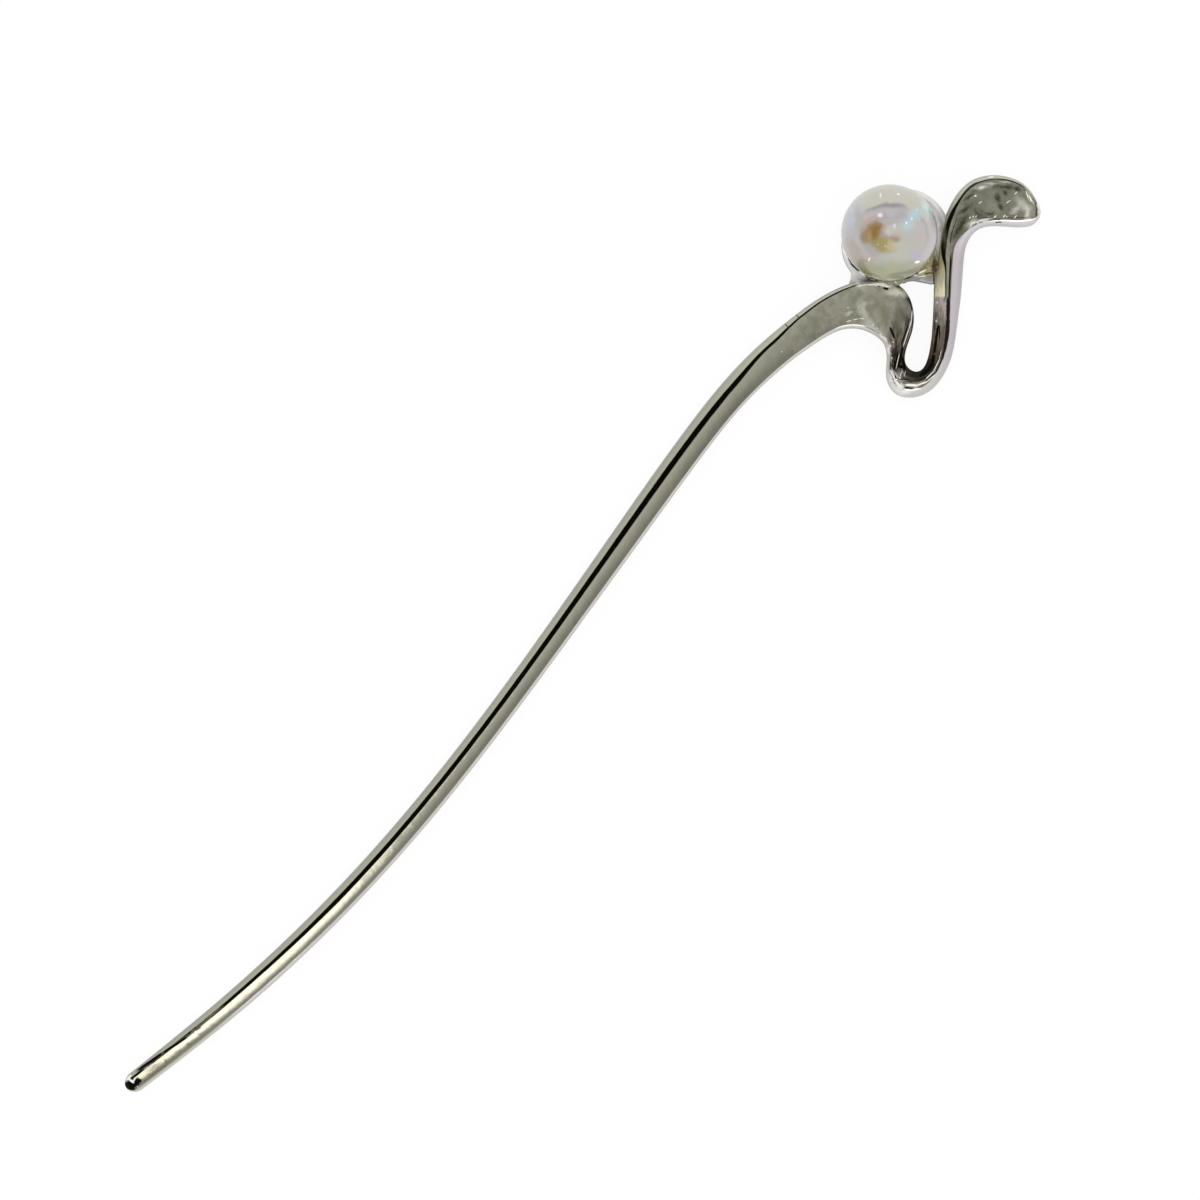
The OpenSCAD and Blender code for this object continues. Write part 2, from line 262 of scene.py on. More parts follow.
# The seat, measured in plan from the pearl's middle
SHOULDER_PLATE = (-1.25, -0.45)
STEM_PLATE = (1.6, -1.35)
SHOULDER_WEB = [(-5.8, 0), (-6.2, -0.2), (-6.6, -0.6), (-7.3, -1), (-7.7, -1.6), (-5, -3.4), (-3, -2)]
STEM_WEB = [(-1.8, -5.9), (-1.2, -6.5), (0, -8.2), (1.2, -8.8), (4.4, -5.2), (2, -3)]

# Marks painted on the casting, most of them painted light and shade and a few of them pits and nicks, each
# a path of strokes through points of the plan.
# Columns: x, y, half the width on the way to the next point, its x, its y, and so on

# Dull olive shadows
SHADE = [
    (149.02, 6.53, 0.57, 146.41, 5.58), (146.11, 5.53, 0.32, 147.54, 6.23), (148.56, 7.3, 0.32, 150.32, 7),
    (154, 6.57, 0.32, 155.88, 4.96), (154.43, 5.31, 0.3, 154.39, 5.01), (152.96, 4.66, 0.32, 152.8, 4.13),
    (153.5, 5.68, 0.27, 153.08, 4.88), (155.61, 5.21, 0.25, 156.08, 4.09),
    (150.11, 8.04, 0.25, 151.69, 7.91), (150.98, 5, 0.25, 151.61, 4.41), (133.32, 2.83, 0.21, 131.91, 1.44),
    (133.69, 1.97, 0.2, 132.45, 0.76), (134.01, 1.32, 0.19, 132.89, 0.68),
]

# Mauve-grey painted reflections
MAUVE_PAINTED_REFLECTION = [
    (133.06, 0.86, 0.35, 131.77, 0.04), (135.16, -3.51, 0.16, 137.4, -1.55),
]

# Dark brown painted shade
SEPIA_PAINTED_SHADE = [
    (132.7, 0.4, 0.25, 130.61, -1.5), (9.52, -0.84, 0.15, 13.94, -1.03),
    (136.71, 3.19, 0.11, 135.85, 1.96, 0.14, 134.95, 1.12, 0.15, 133.73, 0.48, 0.16, 132.36, -0.35, 0.2,
     131.18, -1.45, 0.2, 130.62, -2.62),
]

# Olive painted shade
OLIVE_PAINTED_SHADE = [
    (134.15, 6.31, 0.61, 132.41, 5.92), (132.73, 6.8, 0.49, 131.99, 5.29),
    (134.95, 3.84, 0.42, 133.56, 2.1), (146.52, 8.39, 0.37, 145.04, 6.2), (133.95, 5.48, 0.4, 132.77, 3.87),
    (3.3, -0.57, 0.17, 4.52, -0.71),
]

# Cream painted highlights
CREAM_PAINTED_HIGHLIGHT = [
    (135.59, 6.22, 0.49, 136.85, 4.85), (156.54, 3.31, 0.25, 156.09, 2.03), (155, 1.87, 0.3, 154.49, 1.16),
    (2.85, -0.32, 0.21, 4.43, -0.45),
]

# Painted light and shade on the crest side from the shoulder's end round the U-turn and up the stem to the
# leaf.
# Columns: millimetres along, colour
SIDE_PAINTED_TINTS = [
    (134, (0.02, 0.02, 0.016)),
    (141, (0.02, 0.017, 0.014)),
    (143, (0.035, 0.022, 0.016)),
    (146, (0.025, 0.018, 0.012)),
    (148, (0.018, 0.02, 0.012)),
    (152, (0.02, 0.018, 0.012)),
    (154.2, (0.13, 0.1, 0.07)),
    (157.3, (0.2, 0.175, 0.135)),
    (159.9, (0.42, 0.375, 0.34)),
    (160.9, (0.42, 0.375, 0.345)),
    (161.1, (0.8, 0.77, 0.55)),
    (162, (0.76, 0.72, 0.5)),
    (163, (0.54, 0.5, 0.35)),
    (164.7, (0.47, 0.42, 0.26)),
    (166.8, (0.4, 0.36, 0.22)),
    (168.4, (0.25, 0.25, 0.15)),
    (172, (0.36, 0.36, 0.29)),
]

# Painted shade on the face down the arm and into the U-turn.
# Columns: millimetres along, colour
FACE_SHADE_TINTS = [
    (136, (0.25, 0.235, 0.185)),
    (138.3, (0.17, 0.15, 0.12)),
    (139.5, (0.11, 0.095, 0.075)),
    (140.4, (0.21, 0.19, 0.155)),
    (141.6, (0.17, 0.15, 0.12)),
    (142.3, (0.05, 0.04, 0.03)),
    (143.3, (0.02, 0.013, 0.009)),
    (143.9, (0.05, 0.038, 0.028)),
    (144.6, (0.085, 0.07, 0.056)),
    (145.4, (0.08, 0.064, 0.05)),
    (146.3, (0.26, 0.235, 0.195)),
    (147.3, (0.09, 0.072, 0.055)),
    (150, (0.02, 0.018, 0.012)),
]

# Light grey painted light
GREY_PAINTED_LIGHT = [
    (131.85, 6.95, 0.52, 131.47, 4.93),
    (130.81, 5.13, 0.28, 131.28, 3.66, 0.27, 131.16, 1.82, 0.21, 130.22, 0.32),
    (152.34, 8.06, 0.25, 153.37, 7.34), (153.44, 7.78, 0.15, 154.54, 6.78),
    (155.05, 3.19, 0.45, 155.18, 1.7), (153.57, 2.88, 0.32, 154.72, 2.65),
    (148.38, 5.59, 0.21, 149.82, 5.03, 0.16, 151.09, 4.04), (131.33, 3.53, 0.15, 131.37, 2.13),
    (148.6, 5.55, 0.2, 149.17, 5.44), (129.99, 7.87, 0.2, 130.44, 7.62), (133.17, 6.72, 0.3, 132.02, 7.48),
    (155.09, 6.64, 0.12, 155.68, 5.83),
]

# Pale painted light on the plating
PALE_PAINTED_LIGHT = [
    (129.06, -1.14, 0.27, 128.82, -1.42, 0.42, 128.39, -2.38, 0.49, 128.41, -3.59, 0.25, 128.68, -4.3),
    (134.09, 11.65, 0.47, 133.71, 9.63), (134.68, 8.49, 0.19, 136.18, 6.84),
    (128.58, -3.86, 0.17, 129.94, -4.94), (131.3, 2.96, 0.14, 131.08, 1.72, 0.11, 130.49, 0.74),
    (157.22, 3.77, 0.19, 157.17, 2.63, 0.24, 156.81, 1.52, 0.25, 156.01, 0.57),
    (148.44, 5.2, 0.16, 149.26, 5.17, 0.12, 150.56, 4.38),
]

# Black pits and nicks, and painted dark reflections: black streaks, the tip's black end and black crest
# lines
PITS_AND_DARK_REFLECTIONS = [
    (-0.11, -0.12, 0.53, 1.07, -0.58), (-0.22, 0.13, 0.32, 0.06, -0.57), (0.92, -0.19, 0.27, 1.51, -0.75),
    (135.1, 13.25, 0.09, 134.7, 11.93, 0.12, 134.76, 10.74, 0.06, 135.04, 9.59, 0.06, 135.89, 7.97, 0.05,
     137.73, 6.32, 0.09, 139.05, 5.64), (132.67, 2.89, 0.14, 132.22, 1.69),
    (134.18, 1.46, 0.1, 132.29, 0.51), (135.19, 2.13, 0.06, 134.18, 1.46),
    (131.02, -0.17, 0.12, 129.49, -1.11), (131.14, -0.9, 0.2, 130.64, -1.79),
    (128.81, -2.1, 0.07, 129.9, -3.2), (128.92, -3.69, 0.11, 129.53, -4.38),
    (137.27, -1.09, 0.07, 136.26, -2.17), (151.22, 3.87, 0.08, 151.72, 3.29),
    (151.14, 3.38, 0.06, 151.65, 2.94), (149.75, 5.32, 0.04, 151.38, 4.04),
    (152.52, 2.86, 0.04, 154.34, 1.17), (125.35, 11.42, 0.06, 125.38, 11.99),
    (123.6, 11.55, 0.06, 123.63, 12.12), (135.5, 6.95, 0.15, 135.71, 6.63),
    (135.14, 7.67, 0.09, 135.22, 7.58), (129.98, -3.82, 0.04, 129.31, -2.91),
    (129.64, -3.74, 0.04, 129.11, -3.03), (-0.35, -0.18, 0.32, 0.24, -0.82),
    (129.1, -1.52, 0.04, 128.79, -2.93), (128.54, -1.67, 0.03, 128.35, -2.85),
    (128.91, -1, 0.03, 128.55, -2.1), (132.26, 0.26, 0.14, 131.36, -0.43, 0.16, 130.19, -1.19),
    (130.14, -1.14, 0.2, 130.41, -1.57), (134.6, -2.99, 0.15, 135.78, -2.06, 0.14, 137.17, -0.99),
    (129.51, -0.37, 0.07, 129.78, -0.89), (129.04, -1.8, 0.09, 128.84, -2.3),
    (130.23, -0.37, 0.09, 129.77, -0.96), (2.22, 0.36, 0.19, 5.87, -0.2, 0.17, 9.52, -0.84),
    (-0.05, 0.13, 0.3, 0.99, -0.48), (1.37, -0.5, 0.3, 0.59, -0.64), (130.28, -1.44, 0.1, 130.56, -2.05),
    (134.19, -3.28, 0.2, 133.41, -3.9, 0.22, 132.49, -4.06, 0.2, 131.4, -3.94),
]

# Fine painted dark lines of shade round the U-turn, beside the stem's crest and along the leaf's rim
PAINTED_DARK_LINES = [
    (145.32, 5.43, 0.06, 145.96, 6.02, 0.06, 146.52, 6.34, 0.05, 147.22, 6.7, 0.04, 148, 7.08),
    (139.3, 1.93, 0.07, 141.6, 4.36),
    (130.56, -4.83, 0.06, 131.86, -4.89, 0.1, 133.02, -4.9, 0.12, 134.57, -4.32, 0.15, 135.68, -3.67, 0.21,
     136.69, -2.92, 0.27, 137.64, -2.12, 0.25, 138.54, -1.27, 0.24, 140.34, 0.6),
    (156.42, 4, 0.04, 156.46, 2.96, 0.04, 156.31, 1.91, 0.04, 155.93, 1.16, 0.04, 155.22, 0.56),
]

# Painted highlights: glints on bright specks and scratches
GLINT = [
    (0.41, 0.48, 0.11, 1.07, 0.5), (0.67, 0.37, 0.14, 0.79, -0.26), (0.81, -0.24, 0.09, 1.25, -0.14),
    (135.17, 14.04, 0.07, 134.85, 12.81), (134.73, 10.54, 0.11, 134.88, 9.71),
    (135.1, 10.64, 0.05, 135.17, 10.18), (154.35, 8.01, 0.07, 154.74, 7.71),
    (152.54, 7.82, 0.06, 153.04, 7.62), (151.51, 7.5, 0.1, 151.55, 7.47), (151.2, 6.5, 0.04, 151.62, 6.47),
    (155.2, 4.31, 0.04, 155.65, 4.32), (153.73, 4.2, 0.04, 154.26, 4.14), (149.12, 6, 0.05, 149.26, 6.02),
    (149.51, 5.82, 0.05, 149.65, 5.85), (149.75, 5.58, 0.04, 149.94, 5.62),
    (151.41, 3.95, 0.06, 151.67, 3.97), (152.25, 3.22, 0.06, 152.55, 3.24),
    (152.52, 2.96, 0.04, 152.64, 2.98), (153.16, 2.2, 0.05, 153.54, 2.24),
    (156.44, 3.57, 0.05, 156.11, 2.86), (156.37, 2.87, 0.06, 156.13, 2.25),
    (134.27, 1.25, 0.04, 132.33, 0.19), (136.1, 2.58, 0.04, 135.28, 1.83, 0.04, 134.27, 1.25),
    (131.21, -0.23, 0.03, 129.81, -1.17), (130.01, -1.96, 0.03, 129.15, -2.42),
    (130.35, -2.28, 0.02, 129.8, -2.61), (131.74, 1.4, 0.05, 131.73, 1.34),
    (131.16, 1.3, 0.05, 131.15, 1.24), (130.29, 0.15, 0.05, 130.25, 0.05),
    (128.82, -2.21, 0.09, 128.87, -2.27), (129.26, -2.39, 0.06, 129.3, -2.42),
    (129.29, -3.56, 0.14, 130.16, -4.5, 0.09, 131.4, -5.03, 0.06, 132.62, -5.07),
    (139.13, 1.25, 0.07, 139.05, 1.15), (137.47, -0.36, 0.07, 137.4, -0.43),
    (134.24, 8.75, 0.06, 135.13, 7.89, 0.06, 136.03, 6.68), (133.21, 9.46, 0.05, 134.24, 8.75),
    (129.31, 7.15, 0.04, 129.78, 6.92), (130.11, 6.73, 0.04, 130.54, 6.46),
    (130.75, 6.33, 0.04, 131.09, 5.97), (130.58, 8.34, 0.05, 130.62, 8.29),
    (120.92, 9.99, 0.05, 120.95, 9.97), (131.49, 7.47, 0.04, 131.53, 7.43),
    (131.39, 4.67, 0.05, 131.41, 4.58), (131.49, 4.06, 0.04, 131.5, 3.96),
    (131.63, -4.67, 0.05, 132.81, -4.66, 0.04, 134.33, -4.09, 0.02, 135.29, -3.47),
]

pearl_r = PEARL_D / 2
pearl_z = SEAT_FLOOR + PEARL_GAP + pearl_r
pearl_low, pearl_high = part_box("pearl")
pearl_home = (pearl_low + pearl_high) / 2
pearl_home.z = pearl_z * MM
plan_home = pearl_home - Vector((*PEARL_AT, pearl_z)) * MM


def from_plan(x, y, z=0.0):
    """A point of the plan, in millimetres from the tip, as a place in the frame."""
    return plan_home + Vector((x, y, z)) * MM


def from_pearl(x, y, z=0.0):
    """A point measured in plan from the pearl's middle, as a place in the frame."""
    return from_plan(PEARL_AT[0] + x, PEARL_AT[1] + y, z)


# The two edges of the ribbon, as a natural cubic curve through their rows


def row_bends(rows, gaps):
    """How much the curve bends at each row, nothing at its two ends."""
    slopes = [(b - a) / gap for a, b, gap in zip(rows, rows[1:], gaps)]
    shares, bends = [0.0], [0 * rows[0]]
    for i in range(len(gaps) - 1):
        pivot = 2 * (gaps[i] + gaps[i + 1]) - gaps[i] * shares[i]
        bends.append((6 * (slopes[i + 1] - slopes[i]) - gaps[i] * bends[i]) / pivot)
        shares.append(gaps[i + 1] / pivot)
    bends.append(0 * rows[0])
    for i in reversed(range(len(gaps))):
        bends[i] = bends[i] - shares[i] * bends[i + 1]
    return bends


def on_curve(rows, gaps, bends, i, f):
    """The place a share f of the way from row i to the next."""
    pull = ((1 - f) ** 3 - (1 - f)) * bends[i] + (f**3 - f) * bends[i + 1]
    return (1 - f) * rows[i] + f * rows[i + 1] + gaps[i] ** 2 / 6 * pull


def shape_at(u):
    """The section's shape at row number u of EDGES."""
    i = max(n for n in range(len(SHAPES) - 1) if SHAPES[n][0] <= u)
    f = (u - SHAPES[i][0]) / (SHAPES[i + 1][0] - SHAPES[i][0])
    ease = f * f * (3 - 2 * f)
    return Vector(SHAPES[i][1:]).lerp(Vector(SHAPES[i + 1][1:]), ease)


def flank_rise(d, roundness):
    return 1.0 if d >= 1 else (1 - (1 - d) ** roundness) ** (1 / roundness)


def back_lift(d):
    return 0.0 if d >= 1 else 1 - sqrt(1 - (1 - d) ** 2)


def section(width, shape, top, lift):
    """One section from its left side over the crest, the face and the right side, and back underneath.
    Each point is a distance across, a height and its band."""
    left_w, right_w, drop, face_drop, hollow, roundness = shape
    left_w = min(left_w, (width - FACE_MIN) / 2)
    right_w = min(right_w, width - left_w - FACE_MIN)
    crest = RIBBON_H - drop
    side = BELLY * crest
    left_rise = (crest - side) * top
    right_rise = (crest - face_drop - side) * top
    corner = min(BACK_ROUND, width / 2 - FACE_MIN)
    power = 2 / roundness

    def flank(wide, rise):
        """A flank from its rim down: how far in each point lies, its height and its part of a band."""
        tall = min(rise, FLANK_SLOPE * wide)
        for k in range(FLANK_STEPS + 1):
            a = pi / 2 * k / FLANK_STEPS
            part = sin(a) ** power
            yield wide * (1 - part), side + rise - tall * (1 - max(0, cos(a)) ** power), FLANK_BAND * part

    points = [(inward, height, 1 - part) for inward, height, part in flank(left_w, left_rise)]
    points = [(0, side, 0)] + points[::-1]
    for k in range(1, FACE_STEPS):
        f = k / FACE_STEPS
        height = side + left_rise + (right_rise - left_rise) * f * f - hollow * top * sin(pi * f)
        points.append((left_w + f * (width - left_w - right_w), height, 1 + f))
    points += [(width - inward, height, 2 + part) for inward, height, part in flank(right_w, right_rise)]
    points.append((width, side, 3))
    under = []
    for k in range(1, BACK_STEPS + 1):
        a = pi / 2 * k / BACK_STEPS
        under.append((corner * (1 - cos(a)), side * (1 - (1 - lift) * sin(a)), k / BACK_STEPS))
    points += [(width - across, height, 3 + k / 2) for across, height, k in under]
    points += [(across, height, 4.5 - k / 2) for across, height, k in reversed(under[:-1])]
    points.insert(len(points) - BACK_STEPS + 1, (under[-1][0], under[-1][1], 4.0))
    return points


class Ring:
    """One section of the stick, in its place in plan."""

    def __init__(self, edges, shape, top=1.0, lift=0.0):
        left, right = Vector(edges[0:2]), Vector(edges[2:4])
        width = (right - left).length
        self.middle = (left + right) / 2
        self.points = []
        for across, height, band in section(width, shape, top, lift):
            place = left.lerp(right, across / width)
            self.points.append((Vector((place.x, place.y, height)), band))


def end_ring(edges, shape, way, length, start, k):
    """A ring of a rounded end, which is part of an ellipse in plan with the same flank all round."""
    a = start + (LAST_ANGLE - start) * k / END_RINGS
    out = (sin(a) - sin(start)) / (1 - sin(start))
    left, right = Vector(edges[0:2]), Vector(edges[2:4])
    middle = (left + right) / 2 + way * length * out
    half = (left - right) / 2 * cos(a) / cos(start)
    inward = length * (1 - out)
    top = flank_rise(inward / max(shape[0], length * END_SHARE), shape[5])
    return Ring((*(middle + half), *(middle - half)), shape, top, back_lift(inward / BACK_ROUND))


def square_to(edges):
    """The direction in plan that is square to the chord between two edges, away from the tip."""
    along = (Vector(edges[2:4]) - Vector(edges[0:2])).normalized()
    return Vector((-along.y, along.x))


def stick_rings():
    """All the rings of the stick, from the tip to the end of the leaf."""
    rows = [Vector(row) for row in EDGES]
    middles = [Vector((row[0] + row[2], row[1] + row[3])) / 2 for row in EDGES]
    gaps = [(b - a).length for a, b in zip(middles, middles[1:])]
    bends = row_bends(rows, gaps)
    tip, leaf = rows[0], rows[-1]
    rings = [
        end_ring(tip, shape_at(0), -square_to(tip), TIP_ROUND, 0.0, k)
        for k in range(END_RINGS, 0, -1)
    ]
    for i, gap in enumerate(gaps):
        steps = max(1, round(gap / (ROD_STEP if i < RIBBON_ROW else RIBBON_STEP)))
        for j in range(steps):
            f = j / steps
            rings.append(Ring(on_curve(rows, gaps, bends, i, f), shape_at(i + f)))
    end_shape = shape_at(len(gaps))
    rings.append(Ring(leaf, end_shape))
    rings += [
        end_ring(leaf, end_shape, square_to(leaf), LEAF_ROUND, LEAF_FROM, k)
        for k in range(1, END_RINGS + 1)
    ]
    return rings


# Pieces


def object_from(mesh, name):
    """A piece made from a finished bmesh, with its faces smooth and pointing outwards."""
    bmesh.ops.recalc_face_normals(mesh, faces=mesh.faces)
    for face in mesh.faces:
        face.smooth = True
    data = bpy.data.meshes.new(name)
    mesh.to_mesh(data)
    mesh.free()
    piece = bpy.data.objects.new(name, data)
    bpy.context.scene.collection.objects.link(piece)
    return piece


def dress(piece, material):
    """Gives the whole of a piece one material and smooth shading."""
    piece.data.materials.clear()
    piece.data.materials.append(material)
    for face in piece.data.polygons:
        face.use_smooth = True


def apply_modifiers(piece):
    """Gives a piece the mesh that its modifiers make, and drops them."""
    shown = piece.evaluated_get(bpy.context.evaluated_depsgraph_get())
    data = bpy.data.meshes.new_from_object(shown)
    piece.modifiers.clear()
    old, piece.data = piece.data, data
    bpy.data.meshes.remove(old)


def cut_or_join(piece, other, operation):
    """Joins another closed piece to this one, or cuts it away, and drops the other."""
    modifier = piece.modifiers.new(operation.lower(), "BOOLEAN")
    modifier.operation = operation
    modifier.solver = "EXACT"
    modifier.object = other
    apply_modifiers(piece)
    bpy.data.meshes.remove(other.data)


def swept_ribbon():
    """The stick itself: a sheet laid over the rings, closed along its side and at both ends."""
    rings = stick_rings()
    count = len(rings[0].points)
    mesh = bmesh.new()
    plan = mesh.loops.layers.uv.new("ribbon")
    bmesh.ops.create_grid(mesh, x_segments=count, y_segments=len(rings) - 1, size=1, calc_uvs=True)
    mesh.verts.ensure_lookup_table()
    along = 0.0
    for n, ring in enumerate(rings):
        if n:
            along += (ring.middle - rings[n - 1].middle).length
        for k in range(count + 1):
            vert = mesh.verts[n * (count + 1) + k]
            place, band = ring.points[k % count]
            vert.co = from_plan(*place)
            for loop in vert.link_loops:
                loop[plan].uv = (UV_START + along / UV_LENGTH, (band if k < count else UV_BANDS) / UV_BANDS)
    bmesh.ops.remove_doubles(mesh, verts=mesh.verts, dist=0.0005 * MM)
    bmesh.ops.holes_fill(mesh, edges=[edge for edge in mesh.edges if edge.is_boundary], sides=0)
    return object_from(mesh, "hair_stick_metal")


def turned(profile, at, steps, name):
    """A round piece turned from its half section about an upright axis."""
    mesh = bmesh.new()
    verts = [mesh.verts.new(from_pearl(at[0] + x, at[1], z)) for x, z in profile]
    edges = [mesh.edges.new(pair) for pair in zip(verts, verts[1:])]
    bmesh.ops.spin(
        mesh, geom=verts + edges, cent=from_pearl(*at), axis=(0, 0, 1), angle=2 * pi, steps=steps,
        use_merge=True,
    )
    bmesh.ops.remove_doubles(mesh, verts=mesh.verts, dist=0.001 * MM)
    return object_from(mesh, name)


def round_plate(at, radius):
    """A round plate whose upper edge is rounded."""
    profile = [(0, 0), (radius, 0), (radius, SEAT_H - SEAT_ROUND)]
    for k in range(1, EDGE_STEPS + 1):
        a = pi / 2 * k / EDGE_STEPS
        profile.append((radius - SEAT_ROUND * (1 - cos(a)), SEAT_H - SEAT_ROUND * (1 - sin(a))))
    profile.append((0, SEAT_H))
    return turned(profile, at, 96, "plate")


def web(outline):
    """A low flat web that ties a plate to the ribbon."""
    mesh = bmesh.new()
    base = mesh.faces.new([mesh.verts.new(from_pearl(x, y)) for x, y in outline])
    raised = bmesh.ops.extrude_face_region(mesh, geom=[base], use_keep_orig=True)["geom"]
    tops = [part for part in raised if isinstance(part, bmesh.types.BMVert)]
    bmesh.ops.translate(mesh, verts=tops, vec=(0, 0, WEB_H * MM))
    return object_from(mesh, "web")


def ball(radius, segments, rings, name="ball"):
    """A ball round the pearl's middle."""
    mesh = bmesh.new()
    bmesh.ops.create_uvsphere(mesh, u_segments=segments, v_segments=rings, radius=radius * MM)
    bmesh.ops.translate(mesh, verts=mesh.verts, vec=pearl_home)
    return object_from(mesh, name)


def post(diameter, low, high):
    """An upright post on the pearl's axis."""
    mesh = bmesh.new()
    bmesh.ops.create_cone(
        mesh, cap_ends=True, segments=48, radius1=diameter / 2 * MM, radius2=diameter / 2 * MM,
        depth=(high - low) * MM,
    )
    bmesh.ops.translate(mesh, verts=mesh.verts, vec=from_pearl(0, 0, (low + high) / 2))
    return object_from(mesh, "post")


def soften(piece, voxel, passes):
    """Runs the joints of a casting together, as the wax does in its mould."""
    modifier = piece.modifiers.new("soften", "REMESH")
    modifier.mode = "VOXEL"
    modifier.voxel_size = voxel * MM
    smooth = piece.modifiers.new("smooth", "SMOOTH")
    smooth.factor = 0.5
    smooth.iterations = passes
    apply_modifiers(piece)


def seat():
    """The two round plates under the pearl, with their webs, a hollow that fits the pearl and a peg."""
    plates = round_plate(SHOULDER_PLATE, SHOULDER_PLATE_R)
    for other in (round_plate(STEM_PLATE, STEM_PLATE_R), web(SHOULDER_WEB), web(STEM_WEB)):
        cut_or_join(plates, other, "UNION")
    soften(plates, voxel=0.14, passes=4)
    cut_or_join(plates, ball(pearl_r + PEARL_GAP, segments=96, rings=64), "DIFFERENCE")
    cut_or_join(plates, post(PEG_D, SEAT_FLOOR / 2, SEAT_FLOOR + PEG_L), "UNION")
    return plates


def hair_stick(metal):
    """The casting: the ribbon and the seat in one."""
    stick = swept_ribbon()
    cut_or_join(stick, seat(), "UNION")
    dress(stick, metal)
    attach(stick, "root")
    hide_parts("hair_stick")


def pearl(nacre):
    """The bead, with its blind hole for the peg."""
    bead = ball(pearl_r, segments=128, rings=96, name="pearl_bead")
    cut_or_join(bead, post(PEG_D + 2 * PEARL_GAP, 0, SEAT_FLOOR + PEG_L + PEARL_GAP), "DIFFERENCE")
    dress(bead, nacre)
    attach(bead, "root")
    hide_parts("pearl")


def glue_bed(resin):
    """The ring of glue under the bead, and the run that has come out of it."""
    low = SEAT_H + GLUE_GAP
    top_r = pearl_r + GLUE_GAP
    profile = [(GLUE_BORE_R, low), (GLUE_R, low)]
    for k in range(EDGE_STEPS + 1):
        r = GLUE_R + (GLUE_BORE_R - GLUE_R) * k / EDGE_STEPS
        profile.append((r, pearl_z - sqrt(top_r**2 - r**2)))
    bed = turned(profile + profile[:1], (0, 0), 128, "glue_bed")
    run = None
    for x, y, z, wide, tall in GLUE_RUN:
        drop = ball(1.0, segments=24, rings=16)
        for vert in drop.data.vertices:
            own = (vert.co - pearl_home) / MM
            vert.co = from_pearl(x + own.x * wide, y + own.y * wide, z + own.z * tall)
        if run is None:
            run = drop
        else:
            cut_or_join(run, drop, "UNION")
    soften(run, voxel=0.1, passes=16)
    cut_or_join(bed, run, "UNION")
    cut_or_join(bed, ball(top_r, segments=96, rings=64), "DIFFERENCE")
    dress(bed, resin)
    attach(bed, "root")
    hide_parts("glue")


# Materials


class Wire:
    """An output of a node. Arithmetic on it adds Math nodes."""

    def __init__(self, shop, socket):
        self.shop = shop
        self.socket = socket

    def math(self, operation, *values):
        return self.shop.node("ShaderNodeMath", {"operation": operation}, dict(enumerate(values)))

    def larger(self, other):
        return self.math("MAXIMUM", self, other)

    def __add__(self, other):
        return self.math("ADD", self, other)

    __radd__ = __add__

    def __sub__(self, other):
        return self.math("SUBTRACT", self, other)

    def __rsub__(self, other):
        return self.math("SUBTRACT", other, self)

    def __mul__(self, other):
        return self.math("MULTIPLY", self, other)

    __rmul__ = __mul__

    def __truediv__(self, other):
        return self.math("DIVIDE", self, other)


